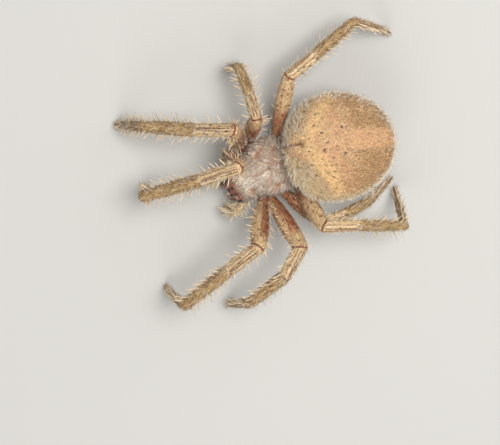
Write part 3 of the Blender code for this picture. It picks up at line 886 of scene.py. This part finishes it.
spineLook = {
    # for each kind: step along, long and short length, rows by their turn from the back, in degrees
    "femur": {"step": 0.62, "long": 1.00, "short": 0.58, "rows": (-105, -78, 78, 105)},
    "patella": {"step": 0.54, "long": 1.12, "short": 0.62, "rows": (-92, 92)},
    "tibia": {"step": 0.46, "long": 1.22, "short": 0.66, "rows": (-100, -78, 78, 100)},
    "metatarsus": {"step": 0.40, "long": 1.00, "short": 0.56, "rows": (-100, -78, 78, 100)},
    "tarsus": {"step": 0.20, "long": 0.50, "short": 0.34, "rows": (-95, -35, 35, 95, 150, -150)},
    "palp": {"step": 0.26, "long": 1.05, "short": 0.62, "rows": (-115, -60, 0, 60, 115)},
    "width": 0.135, "lift": 64, "liftSpread": 8, "bend": 0.10,
}
kindNames = {value: name for name, value in kinds.items()}


def spineRow(limb, i, tree, turn, row):
    # roots along one row, found on the skin from outside
    look = spineLook[kindNames[limb["kind"]]]
    across = np.cross(ways[i], uppers[i])
    place, count, found = look["step"] * (0.4 + 0.5 * (row % 2)), 0, []
    while place < spanLengths[i] - 0.1:
        angle = math.radians(turn + chance.normal(0, 8))
        outwards = uppers[i] * math.cos(angle) + across * math.sin(angle)
        centre = starts[i] + ways[i] * place
        hit = tree.ray_cast(Vector(centre + outwards * 2.0), Vector(-outwards), 2.0)[0]
        size = look["long"] if (count + row) % 2 == 0 else look["short"]
        if hit is not None:
            found.append((np.array(hit), outwards, ways[i], size * chance.uniform(0.8, 1.15)))
        place += look["step"] * chance.uniform(0.75, 1.3)
        count += 1
    return found


def makeSpines():
    tree = treeOf(skin.data)
    found = []
    for i, limb in enumerate(limbs):
        if limb["kind"] != kinds["coxa"]:
            for row, turn in enumerate(spineLook[kindNames[limb["kind"]]]["rows"]):
                found += spineRow(limb, i, tree, turn, row)
    roots, normals, lies, lengths = (np.array(column) for column in zip(*found))
    widths = spineLook["width"] * np.clip(lengths / 0.8, 0.6, 1.0)
    lifts = chance.normal(spineLook["lift"], spineLook["liftSpread"], len(roots))
    return growHairs("spines", (roots, normals, lies, lengths, widths, lifts), factsAt(roots),
                     spineLook["bend"], sides=5, rings=3)


coatPieces = makeCoat()
fringes = makeFringe()
spines = makeSpines()
print("coat, fringe and spines made")


# Jaws, fangs and claws: hard and glossy, with no hair

jawLook = {"top": (0.66, 3.0, 4.5), "tip": (0.62, 4.1, 2.3), "radii": (0.56, 0.60, 0.42),
           "fangLength": 0.8, "fangRadius": 0.2, "fangCurl": 55, "fangSteps": 8}
clawLook = {"length": 0.26, "width": 0.07, "apart": 0.07, "lift": 28.0, "bend": 0.9}


def makeJaws():
    rows, fangs = [], []
    steps = jawLook["fangSteps"]
    curl = math.radians(jawLook["fangCurl"]) / steps
    for side in (-1, 1):
        flip = np.array((side, 1.0, 1.0))
        top, tip = (fromBody(chest, np.array(jawLook[end]) * flip) for end in ("top", "tip"))
        rows.append(tube(top, tip, jawLook["radii"], stations=14, sides=32))
        inwards = -side * chest["axes"][0]
        place, way = tip.copy(), unit(tip - top)
        for step in range(steps):
            way = unit(way * math.cos(curl) + inwards * math.sin(curl))
            thick = [jawLook["fangRadius"] * (1 - (step + k) / (steps + 1)) for k in (0, 0.5, 1)]
            after = place + way * jawLook["fangLength"] / steps
            fangs.append(tube(place, after, thick, stations=2, sides=12))
            place = after
    jaws = finishPiece(solidObject("chelicerae", rows), "jaw", "chelicera_L", "chelicera_R")
    return jaws, finishPiece(solidObject("fangs", fangs), "fang", "fang_L", "fang_R")


def makeClaws():
    roots, normals, lies = [], [], []
    for i in np.flatnonzero(kindOf == kinds["tarsus"]):
        across = np.cross(ways[i], uppers[i])
        for side in (-1, 1):
            roots.append(limbs[i]["end"] + across * side * clawLook["apart"] + ways[i] * 0.02)
            normals.append(uppers[i])
            lies.append(ways[i] + across * side * 0.25)
    roots, normals, lies = (np.array(rows) for rows in (roots, normals, lies))
    shape = (np.full(len(roots), clawLook[name]) for name in ("length", "width", "lift"))
    return growHairs("claws", (roots, normals, lies, *shape), factsAt(roots), clawLook["bend"],
                     sides=8, rings=5)


jaws, fangs = makeJaws()
claws = makeClaws()
print("jaws, fangs and claws made")


# The markings, shared by skin and coat: colours by the place on the body, all patterns in mm

abdomenColours = {
    "ground": "C8A278", "yellow": "E4C088", "peach": "CC9C76", "band": "D2A67A", "folium": "AE885C",
    # the rim colour is partly the pale short hairs of the sides and partly a painted rim highlight
    "squiggle": "86603A", "flank": "B6A07C", "rim": "D4BE98", "speck": "6A4828", "sigillum": "4C3838",
    "point": "7C4426",
}
chestColours = {"ground": "A2866C", "pale": "DCD0BE", "rim": "BCA392", "bare": "8E5830", "streak": "9C6446",
                "face": "7E3A26"}
limbColours = {
    "coxa": "8A5238", "femur": "A2694C", "femurDark": "74341E", "femurSide": "E4CA9C", "femurEnd": "D6BC90",
    "femurUnder": "B09A70", "patella": "C4A67C", "patellaPale": "DEC8A2", "tibia": "A68656",
    "tibiaDark": "7C5A3A", "metatarsus": "9E7C54", "tarsus": "94705A", "tip": "56301F", "palp": "D4C09A",
    "line": "562A1A", "seam": "72301E",
}
noises = {  # scale, detail and how much the places are stretched
    "blotch": (0.9, 3.0, (1, 1, 1)), "mottle": (3.2, 3.0, (1, 1, 1)), "fine": (7.0, 2.0, (1, 1, 1)),
    "streak": (1.6, 2.0, (3.4, 0.75, 3.4)), "strand": (3.0, 2.0, (3.0, 0.5, 3.0)),
}
dots = {"speck": (1.5, (1.5, 0.8, 1.5)), "dot": (1.7, (1, 1, 1))}
patellaLines = (  # centre, drift along the patella, half width, darkness
    (0.50, 0.26, 0.085, 0.85), (0.0, -0.10, 0.085, 0.9), (-0.3, -0.3, 0.06, 0.7), (0.88, 0.10, 0.04, 0.8),
    (-0.72, -0.12, 0.06, 0.8),
)


def paint(tree, hues, colour, rows):
    # each row lays a marking over what is below: its colour, its strength and then its edges, each of
    # them a value, where the marking starts and where it is full
    for over, strength, *edges in rows:
        for value, start, full in edges:
            reach = addNode(tree, "MapRange", {"Value": value, "From Min": start, "From Max": full},
                            interpolation_type="SMOOTHSTEP")
            strength = addNode(tree, "Math", (reach, strength), operation="MULTIPLY")
        over = linear(hues[over]) if isinstance(over, str) else over
        colour = addNode(tree, "Mix", {0: strength, 6: colour, 7: over}, out=2, data_type="RGBA")
    return colour


def readPlaces(tree):
    # the skin's own facts, and the mottles and specks that several markings share
    at = SimpleNamespace()
    for name, parts in (*fields.items(), ("local", ("side", "along", "up"))):   # the patterns read the last
        place = addNode(tree, "Attribute", out="Vector", attribute_name=name)
        for number, part in enumerate(parts):
            setattr(at, part, addNode(tree, "SeparateXYZ", (place,), out=number))
    at.aside = addNode(tree, "Math", (at.side,), operation="ABSOLUTE")
    at.mirrored = addNode(tree, "CombineXYZ", (at.aside, at.along))
    for name, (scale, detail, stretch) in noises.items():
        drawn = addNode(tree, "VectorMath", (place, stretch), operation="MULTIPLY")
        setattr(at, name, addNode(tree, "TexNoise", {"Vector": drawn, "Scale": scale, "Detail": detail}))
    for name, (scale, stretch) in dots.items():
        drawn = addNode(tree, "VectorMath", (place, stretch), operation="MULTIPLY")
        setattr(at, name, addNode(tree, "TexVoronoi", {"Vector": drawn, "Scale": scale, "Randomness": 1.0},
                                  out="Distance"))
    return at


def paintAbdomen(tree, at):
    # yellow arms from the front tip, a peach middle, and behind them a pale band between darker flanks
    aside, along, up, fine, speck = at.aside, at.along, at.up, at.fine, at.speck
    wobble = addNode(tree, "Math", (at.mottle, 0.8, aside), operation="MULTIPLY_ADD")
    armLine = addNode(tree, "Math", (aside, 0.72, along), operation="MULTIPLY_ADD")
    armSpan = addNode(tree, "Math", (armLine, 4.75), operation="SUBTRACT")
    armAway = addNode(tree, "Math", (armSpan,), operation="ABSOLUTE")
    rows = [
        ("peach", 0.8, (at.blotch, 0.46, 0.60)),
        ("yellow", 0.9, (armAway, 1.1, 0.35), (at.mottle, 0.30, 0.52)),
        ("peach", 0.7, (armSpan, -1.0, -1.5), (armSpan, -2.9, -2.2), (at.blotch, 0.40, 0.55)),
        ("folium", 0.85, (along, 0.9, -0.9), (wobble, 1.15, 1.45), (at.blotch, 0.32, 0.52)),
        ("band", 0.95, (wobble, 1.45, 1.15), (along, 0.9, -0.2)),
        ("squiggle", 0.65, (fine, 0.50, 0.58), (along, 2.4, -0.6), (wobble, 1.1, 1.6)),
        ("squiggle", 0.4, (fine, 0.53, 0.62)),
        ("yellow", 0.45, (fine, 0.46, 0.34)),
        ("flank", 0.85, (armSpan, 0.35, 1.5), (aside, 0.8, 1.8)),
        # rim: the sides and underside are paler, partly for the pale short hairs there and partly as a
        # painted rim highlight where the outline's hairs catch the light
        ("rim", 0.85, (up, 2.1, 0.2)),
        ("speck", 0.9, (speck, 0.23, 0.14), (along, -0.5, 1.8)),
        ("speck", 0.6, (speck, 0.13, 0.07), (along, 0.5, -0.5), (aside, 1.0, 1.4)),
    ]
    for across, place, radius, darkness in abdomenSpots:
        span = addNode(tree, "VectorMath", (at.mirrored, (across, place, 0.0)), out="Value",
                       operation="DISTANCE")
        rows.append(("sigillum", darkness, (span, radius, radius * 0.45), (up, 0.6, 1.0)))
    rows.append(("point", 0.9, (aside, 0.20, 0.07), (along, 4.3, 4.7)))
    return paint(tree, abdomenColours, linear(abdomenColours["ground"]), rows)


def paintChest(tree, at):
    # pinkish brown, with pale patches, bare brown spots and reddish streaks out of the dent
    aside, along, mottle, dent = at.aside, at.along, at.mottle, chestShape["foveaAt"]
    behind = addNode(tree, "Math", (along, -dent), operation="ADD")
    turn = addNode(tree, "Math", (at.side, behind), operation="ARCTAN2")
    crooked = addNode(tree, "Math", (mottle, 5.0), operation="MULTIPLY")
    turns = addNode(tree, "Math", (turn, 6.0, crooked), operation="MULTIPLY_ADD")
    rays = addNode(tree, "Math", (turns,), operation="SINE")
    span = addNode(tree, "VectorMath", (at.mirrored, (0.0, dent, 0.0)), out="Value", operation="DISTANCE")
    rows = [
        ("pale", 0.85, (at.blotch, 0.47, 0.62)),
        ("pale", 0.8, (aside, 1.0, 0.5), (along, -1.6, -0.6), (along, 2.8, 1.8), (at.streak, 0.42, 0.58)),
        ("rim", 0.7, (aside, 1.9, 2.5)),
        ("streak", 0.75, (rays, 0.35, 0.9), (span, 0.1, 0.5), (span, 3.0, 1.4)),
        ("streak", 0.7, (span, 1.1, 0.3), (mottle, 0.40, 0.55)),
    ]
    for across, place, radius in chestSpots:
        span = addNode(tree, "VectorMath", (at.mirrored, (across, place, 0.0)), out="Value",
                       operation="DISTANCE")
        frayed = addNode(tree, "Math", (mottle, 0.35, span), operation="MULTIPLY_ADD")
        rows.append(("bare", 0.75, (frayed, radius + 0.26, radius + 0.04)))
    rows.append(("face", 0.9, (along, 2.55, 3.0), (mottle, 0.34, 0.46)))
    return paint(tree, chestColours, linear(chestColours["ground"]), rows)


def paintFemur(tree, at):
    # glossy red brown, with a tan side in front, a dark stripe on top, rows of dots and a tan knee end
    left, strand, apart = at.left, at.strand, strips["apart"]
    first = addNode(tree, "MapRange", {"Value": at.along, "From Min": apart, "From Max": apart - 1,
                                       "To Min": -0.28, "To Max": 0.08})
    turned = addNode(tree, "Math", (at.mottle, 0.5, at.lateral), operation="MULTIPLY_ADD")
    turned = addNode(tree, "Math", (turned, first), operation="ADD")
    hind = []
    for leg in ("L4", "R4"):
        middle = legNames.index(leg) * apart + strips["half"]
        hind.append(addNode(tree, "Math", (at.along, middle, strips["half"]), operation="COMPARE"))
    hind = addNode(tree, "Math", hind, operation="ADD")
    return paint(tree, limbColours, linear(limbColours["femur"]), (
        ("femurDark", 0.85, (turned, -0.15, 0.0), (turned, 0.5, 0.3)),
        ("femurSide", 0.9, (turned, 0.82, 1.02)),
        ("femurUnder", 0.8, (at.dorsal, -0.35, -0.75)),
        ("femurEnd", 0.8, (hind, 0.4, 0.6), (left, 4.8, 3.2), (at.mottle, 0.30, 0.46)),
        ("femurEnd", 0.95, (left, 2.1, 0.9)),
        ("femurDark", 0.4, (strand, 0.5, 0.62)),
        ("femurSide", 0.35, (strand, 0.46, 0.36)),
        ("femur", 0.7, (at.fine, 0.52, 0.60), (left, 2.2, 1.2)),
    ))


def paintPatella(tree, at):
    # cream tan streaks with two dark lines and fainter ones beside them, all slightly crooked
    share, edges = at.share, ((at.dorsal, 0.0, 0.2), (at.share, 0.95, 0.86), (at.fine, 0.28, 0.40))
    rows = [("patellaPale", 0.9, (at.strand, 0.45, 0.62)), ("tibia", 0.6, (at.mottle, 0.52, 0.68))]
    bent = addNode(tree, "Math", (at.mottle, 0.34, at.lateral), operation="MULTIPLY_ADD")
    for centre, drift, width, darkness in patellaLines:
        place = addNode(tree, "Math", (share, drift, bent), operation="MULTIPLY_ADD")
        near = addNode(tree, "Math", (place, centre + 0.10, width), operation="COMPARE")
        near = addNode(tree, "Math", (near, darkness), operation="MULTIPLY")
        rows.append(("line", near, *edges))
    return paint(tree, limbColours, linear(limbColours["patella"]), rows)


def paintLimbs(tree, at):
    # the ground of each length, then what crosses them: streaks, dots, dark ends, seams and tips
    kind, left, strand = at.kind, at.left, at.strand
    grounds = (paintFemur(tree, at), paintPatella(tree, at), "tibia", "metatarsus", "tarsus", "palp")
    rows = [(ground, 1.0, (kind, order - 0.6, order - 0.4)) for order, ground in enumerate(grounds, 1)]
    seam = addNode(tree, "Math", (at.knee, 0.06, 0.10), operation="COMPARE")
    return paint(tree, limbColours, linear(limbColours["coxa"]), rows + [
        ("tibiaDark", 0.65, (strand, 0.52, 0.60), (kind, 2.4, 2.6)),
        ("line", 0.55, (strand, 0.60, 0.65), (kind, 2.4, 2.6), (kind, 4.6, 4.4)),
        ("patellaPale", 0.55, (strand, 0.44, 0.34), (kind, 2.4, 2.6)),
        ("line", 0.8, (at.dot, 0.27, 0.18), (kind, 0.4, 0.6), (kind, 4.6, 4.4)),
        ("line", 0.8, (left, 0.34, 0.16), (kind, 1.4, 1.6), (kind, 2.6, 2.4), (at.dorsal, 0.35, 0.6),
         (at.mottle, 0.44, 0.52)),
        ("seam", seam, (at.kneeSpan, 1.05, 0.9), (kind, 2.6, 2.4)),
        ("tip", 0.9, (left, 1.1, 0.2), (kind, 4.4, 4.6), (kind, 5.6, 5.4)),
        ("tibiaDark", 0.3, (at.fine, 0.52, 0.66)),
    ])


def markings():
    # one node group with the colour and how bare and glossy the place is
    tree = bpy.data.node_groups.new("spider markings", "ShaderNodeTree")
    tree.interface.new_socket("Color", in_out="OUTPUT", socket_type="NodeSocketColor")
    tree.interface.new_socket("Bare", in_out="OUTPUT", socket_type="NodeSocketFloat")
    at = readPlaces(tree)
    whole = paint(tree, {}, paintChest(tree, at), ((paintAbdomen(tree, at), 1.0, (at.abdomenShare, 0.2, 0.8)),
                                                   (paintLimbs(tree, at), 1.0, (at.limbShare, 0.2, 0.8))))
    thigh = addNode(tree, "MapRange", {"Value": at.kind, "From Min": 1.6, "From Max": 1.4})
    bare = addNode(tree, "Math", (thigh, at.limbShare), operation="MULTIPLY")
    fromKnee = addNode(tree, "MapRange", {"Value": at.left, "From Min": 0.8, "From Max": 2.4})
    bare = addNode(tree, "Math", (bare, fromKnee), operation="MULTIPLY")
    output = tree.nodes.new("NodeGroupOutput")
    tree.links.new(whole, output.inputs[0])
    tree.links.new(bare, output.inputs[1])
    return tree


spiderMarkings = markings()


def newMaterial(name):
    material = bpy.data.materials.new(name)
    material.use_nodes = True
    material.node_tree.nodes.clear()
    return material, material.node_tree


def finishMaterial(material, tree, inputs):
    shader = addNode(tree, "BsdfPrincipled", inputs)
    addNode(tree, "OutputMaterial", {"Surface": shader}, out=None)
    return material


def skinMaterial():
    # living cuticle, moulted and hardened: satin, glossier on the bare femora, with a fine grain
    material, tree = newMaterial("satin cuticle")
    group = addNode(tree, "Group", out=None, node_tree=spiderMarkings)
    local = addNode(tree, "Attribute", out="Vector", attribute_name="local")
    stretch = addNode(tree, "VectorMath", (local, (1.0, 0.35, 1.0)), operation="MULTIPLY")
    grain = addNode(tree, "TexNoise", {"Vector": stretch, "Scale": 9.0, "Detail": 4.0})
    bump = addNode(tree, "Bump", {"Height": grain, "Strength": 0.4, "Distance": 0.00007})
    rough = addNode(tree, "MapRange", {"Value": group.outputs["Bare"], "To Min": 0.6, "To Max": 0.28})
    return finishMaterial(material, tree, {"Base Color": group.outputs["Color"], "Roughness": rough,
                                           "Normal": bump, "IOR": 1.5})


def hairMaterial(name, towards, shares, roughness, shades=(0.78, 1.2)):
    # clear chitin hair: takes the colour of the skin below and pales to its tip, no two quite alike
    material, tree = newMaterial(name)
    group = addNode(tree, "Group", out=None, node_tree=spiderMarkings)
    tip = addNode(tree, "Attribute", out="Fac", attribute_name="tip")
    shade = addNode(tree, "Attribute", out="Fac", attribute_name="shade")
    paling = addNode(tree, "MapRange", {"Value": tip, "To Min": shares[0], "To Max": shares[1]})
    colour = addNode(tree, "Mix", {0: paling, 6: group.outputs["Color"], 7: linear(towards)}, out=2,
                     data_type="RGBA")
    light = addNode(tree, "MapRange", {"Value": shade, "To Min": shades[0], "To Max": shades[1]})
    colour = addNode(tree, "HueSaturation", {"Color": colour, "Value": light})
    return finishMaterial(material, tree, {"Base Color": colour, "Roughness": roughness, "IOR": 1.55})


def glossMaterial(name, code, darker, roughness, grainSize):
    # hard cuticle with no hair, polished by nature; the mottle is a few tenths of a mm
    material, tree = newMaterial(name)
    place = addNode(tree, "TexCoord", out="Object")
    mottle = addNode(tree, "TexNoise", {"Vector": place, "Scale": 1 / (grainSize * mm), "Detail": 3.0})
    colour = addNode(tree, "Mix", {0: mottle, 6: linear(code), 7: linear(darker)}, out=2, data_type="RGBA")
    bump = addNode(tree, "Bump", {"Height": mottle, "Strength": 0.15, "Distance": 0.00002})
    return finishMaterial(material, tree, {"Base Color": colour, "Roughness": roughness, "Normal": bump,
                                           "IOR": 1.55})


def dress(item, material):
    item.data.materials.clear()
    item.data.materials.append(material)


coatFinish = hairMaterial("golden chitin hair", "EED8B0", (0.0, 0.32), 0.6, (0.80, 1.36))
legFinish = hairMaterial("tan chitin hair", "DCC79E", (0.05, 0.42), 0.5)
chestFinish = hairMaterial("silver chitin hair", "F2E9DC", (0.15, 0.75), 0.36, (0.74, 1.45))
fringeFinish = hairMaterial("long pale chitin hair", "EEE6D6", (0.40, 0.95), 0.42, (0.95, 1.2))
spineFinish = hairMaterial("ivory chitin spine", "E6D2B2", (0.35, 0.95), 0.38, (0.85, 1.1))
dress(skin, skinMaterial())
for piece in coatPieces:
    rest = legFinish if "leg" in piece.name else coatFinish
    dress(piece, chestFinish if piece.name == "coat_chest" else rest)
for piece in fringes:
    dress(piece, fringeFinish)
dress(spines, spineFinish)
dress(eyes, glossMaterial("eye lens chitin", "15100E", "0B0807", 0.06, 0.2))
dress(jaws, glossMaterial("red-brown jaw chitin", "7C3820", "4A1D0D", 0.22, 0.35))
dress(fangs, glossMaterial("dark fang chitin", "3A1A10", "170A06", 0.18, 0.2))
dress(claws, glossMaterial("dark claw chitin", "33201A", "150C08", 0.25, 0.1))
print("materials made")


# Everything rides on the one body, and the skin stands for all the flesh

hard = ("eye_", "chelicera_", "fang_")
flesh = [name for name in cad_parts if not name.startswith(hard)]
finishPiece(skin, "abdomen_skin", *sorted(flesh))
for piece in coatPieces + fringes + [spines, claws]:
    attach(piece, "root")


# The studio: pale floor, soft light, and a camera that looks almost straight down

studio = {
    "floorSize": 1.2, "floorHex": "B9B7B3", "floorRoughness": 0.85,
    "tilt": 12.0, "heading": 20.0, "distance": 180.0, "lens": 129.6,
    "target": (4.61, -2.89, 3.5),      # from the middle of the chest, in mm
    "worldHex": "F4F2EF", "world": 0.42,
    "lights": (  # place in mm, size in mm, watts
        ((-40, 75, 280), 110, 0.80),
        ((160, -110, 210), 220, 0.32),
        ((-80, 200, 150), 200, 0.12),
    ),
}


def makeLights(scene):
    for number, (place, size, watts) in enumerate(studio["lights"]):
        lamp = bpy.data.lights.new("softbox%d" % number, "AREA")
        lamp.energy = watts
        lamp.size = size * mm
        holder = addObject("softbox%d" % number, lamp)
        holder.location = Vector(place) * mm
        holder.rotation_euler = (-holder.location).to_track_quat("-Z", "Y").to_euler()
    world = bpy.data.worlds.new("studio")
    world.use_nodes = True
    sky = world.node_tree.nodes["Background"]
    sky.inputs["Color"].default_value = linear(studio["worldHex"])
    sky.inputs["Strength"].default_value = studio["world"]
    scene.world = world


def makeCamera(scene):
    target = fromBody(chest, (0.0, 0.0, 0.0)) + np.array(studio["target"])
    tilt, heading = math.radians(studio["tilt"]), math.radians(studio["heading"])
    right = Vector((math.sin(heading), math.cos(heading), 0.0))
    flat = Vector((-math.cos(heading), math.sin(heading), 0.0))
    back = Vector((0, 0, 1)) * math.cos(tilt) + flat * math.sin(tilt)
    upwards = flat * math.cos(tilt) - Vector((0, 0, 1)) * math.sin(tilt)
    camera = addObject("camera", bpy.data.cameras.new("camera"))
    turn = Matrix((right, upwards, back)).transposed().to_4x4()
    camera.matrix_world = Matrix.Translation((Vector(target) + back * studio["distance"]) * mm) @ turn
    camera.data.lens = studio["lens"]
    camera.data.sensor_width = 36.0
    camera.data.clip_start = 0.005
    camera.data.clip_end = 5.0
    scene.camera = camera


def makeStudio():
    scene = bpy.context.scene
    bm = bmesh.new()
    bmesh.ops.create_grid(bm, x_segments=1, y_segments=1, size=studio["floorSize"] / 2)
    mesh = bpy.data.meshes.new("floor")
    bm.to_mesh(mesh)
    bm.free()
    floor = addObject("floor", mesh)
    material, tree = newMaterial("matt studio paper")
    paper = {"Base Color": linear(studio["floorHex"]), "Roughness": studio["floorRoughness"]}
    dress(floor, finishMaterial(material, tree, paper))
    makeLights(scene)
    makeCamera(scene)
    scene.view_settings.view_transform = "Standard"


makeStudio()
